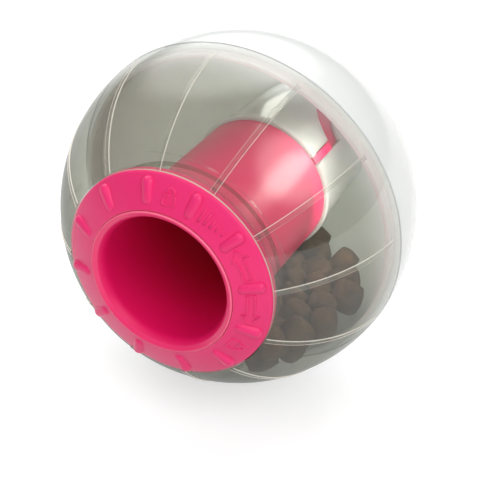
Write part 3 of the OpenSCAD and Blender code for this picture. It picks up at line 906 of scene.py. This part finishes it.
marks = [arrow(GRIP_TURN + way * ARROW_FROM, GRIP_TURN + way * ARROW_TO) for way in (1, -1)]
marks += padlock(OPEN_LOCK_TURN, 1.0) + padlock(CLOSED_LOCK_TURN, 0.3)
for number, length in enumerate(STROKE_LENGTHS):
    turn = STROKE_TURN + STROKE_STEP * number
    half = length / 2 * MM
    marks.append(raised_line([on_face(turn, MARK_R - half), on_face(turn, MARK_R + half)], False))
bpy.ops.object.select_all(action="DESELECT")
for mark in marks:
    mark.select_set(True)
bpy.context.view_layer.objects.active = marks[0]
bpy.ops.object.join()
ring_marks = bpy.context.object
ring_marks.name = "ring_marks"
bpy.ops.object.mode_set(mode="EDIT")
bpy.ops.mesh.select_all(action="SELECT")
bpy.ops.mesh.remove_doubles(threshold=WELD / 2)
bpy.ops.mesh.normals_make_consistent(inside=False)
bpy.ops.object.mode_set(mode="OBJECT")
bpy.ops.object.shade_smooth()
ring_marks.data.materials.append(ring_pink)
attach(ring_marks, "ring")

# Studio: a white table and a pale surround with two soft patches, one high behind
# the ball and one at its right. Two soft lamps stand in front. Three weak ones in
# the ball are the light that a thin white wall lets through to the inside.
TABLE_SIZE = 3
TABLE_GREY = 0.55
TABLE_ROUGH = 0.9
TABLE_GLOW = 0.55
PALE_LEVEL = 0.38
SOFT_PATCHES = (
    {"towards": (-0.42, 0.63, 0.65), "full": 0.94, "faded": 0.76, "strength": 2.45},
    {"towards": (0.678, -0.136, 0.722), "full": 0.99, "faded": 0.88, "strength": 2.5},
)
bpy.ops.mesh.primitive_plane_add(size=TABLE_SIZE, location=(0, 0, -BALL_R))
table = bpy.context.object
table.name = "table"
table_white = bpy.data.materials.new("table_white")
table_white.use_nodes = True
nodes, links = table_white.node_tree.nodes, table_white.node_tree.links
nodes["Principled BSDF"].inputs["Base Color"].default_value = (TABLE_GREY, TABLE_GREY, TABLE_GREY, 1)
nodes["Principled BSDF"].inputs["Roughness"].default_value = TABLE_ROUGH
ray = nodes.new("ShaderNodeLightPath")
seen = nodes.new("ShaderNodeMath")
seen.operation = "MAXIMUM"
links.new(ray.outputs["Is Camera Ray"], seen.inputs[0])
links.new(ray.outputs["Is Glossy Ray"], seen.inputs[1])
lift = nodes.new("ShaderNodeMath")
lift.operation = "MULTIPLY"
lift.inputs[1].default_value = TABLE_GLOW
links.new(seen.outputs["Value"], lift.inputs[0])
nodes["Principled BSDF"].inputs["Emission Color"].default_value = (1, 1, 1, 1)
links.new(lift.outputs["Value"], nodes["Principled BSDF"].inputs["Emission Strength"])
table.data.materials.append(table_white)

surround = bpy.data.worlds.new("surround")
bpy.context.scene.world = surround
surround.use_nodes = True
nodes, links = surround.node_tree.nodes, surround.node_tree.links
bearing = nodes.new("ShaderNodeTexCoord")
total = nodes.new("ShaderNodeMath")
total.operation = "ADD"
total.inputs[1].default_value = PALE_LEVEL
patch_light = nodes.new("ShaderNodeMath")
patch_light.operation = "ADD"
for number, patch in enumerate(SOFT_PATCHES):
    lean = nodes.new("ShaderNodeVectorMath")
    lean.operation = "DOT_PRODUCT"
    lean.inputs[1].default_value = Vector(patch["towards"]).normalized()
    links.new(bearing.outputs["Generated"], lean.inputs[0])
    softbox = nodes.new("ShaderNodeMapRange")
    softbox.interpolation_type = "SMOOTHERSTEP"
    softbox.inputs["From Min"].default_value = patch["faded"]
    softbox.inputs["From Max"].default_value = patch["full"]
    softbox.inputs["To Max"].default_value = patch["strength"]
    links.new(lean.outputs["Value"], softbox.inputs["Value"])
    links.new(softbox.outputs["Result"], patch_light.inputs[number])
links.new(patch_light.outputs["Value"], total.inputs[0])
ray = nodes.new("ShaderNodeLightPath")
level = nodes.new("ShaderNodeMix")
links.new(ray.outputs["Is Camera Ray"], level.inputs["Factor"])
links.new(total.outputs["Value"], level.inputs["A"])
level.inputs["B"].default_value = 1
nodes["Background"].inputs["Color"].default_value = (1, 1, 1, 1)
links.new(level.outputs["Result"], nodes["Background"].inputs["Strength"])

# Name, place, aim, size and power of each lamp, and whether mirrors show it.
for name, place, aim, size, power, mirrored in (
    ("front_right_light", (0.62, -0.73, 0.5), (0, 0, 0), 0.6, 3.1, False),
    ("front_top_light", (-0.15, -0.6, 0.8), (0, 0, 0), 0.6, 2.1, False),
    ("glow_right", (0.029, 0.02, 0.0245), (0.0163, 0.0022, 0.0162), 0.018, 0.008, True),
    ("glow_low", (0.036, 0.012, -0.002), (0.0114, 0.0483, -0.0187), 0.02, 0.006, False),
    ("glow_top", (-0.0075, 0.0425, 0.0294), (-0.0008, 0.0318, 0.022), 0.014, 0.0033, True),
):
    bpy.ops.object.light_add(type="AREA", location=place)
    lamp = bpy.context.object
    lamp.name = name
    lamp.data.size = size
    lamp.data.energy = power
    lamp.visible_camera = False
    lamp.visible_glossy = mirrored
    lamp.rotation_euler = (Vector(place) - Vector(aim)).to_track_quat("Z", "Y").to_euler()

bpy.ops.object.camera_add()
camera = bpy.context.object
camera.matrix_world = Matrix((
    (0.8838, -0.2542, 0.3929, 0.26409),
    (0.4679, 0.4801, -0.7420, -0.49477),
    (0.0, 0.8396, 0.5432, 0.34794),
    (0, 0, 0, 1),
))
camera.data.lens = 156.5
camera.data.sensor_width = 36
camera.data.clip_start = 0.01
bpy.context.scene.camera = camera
bpy.context.scene.view_settings.view_transform = "Standard"
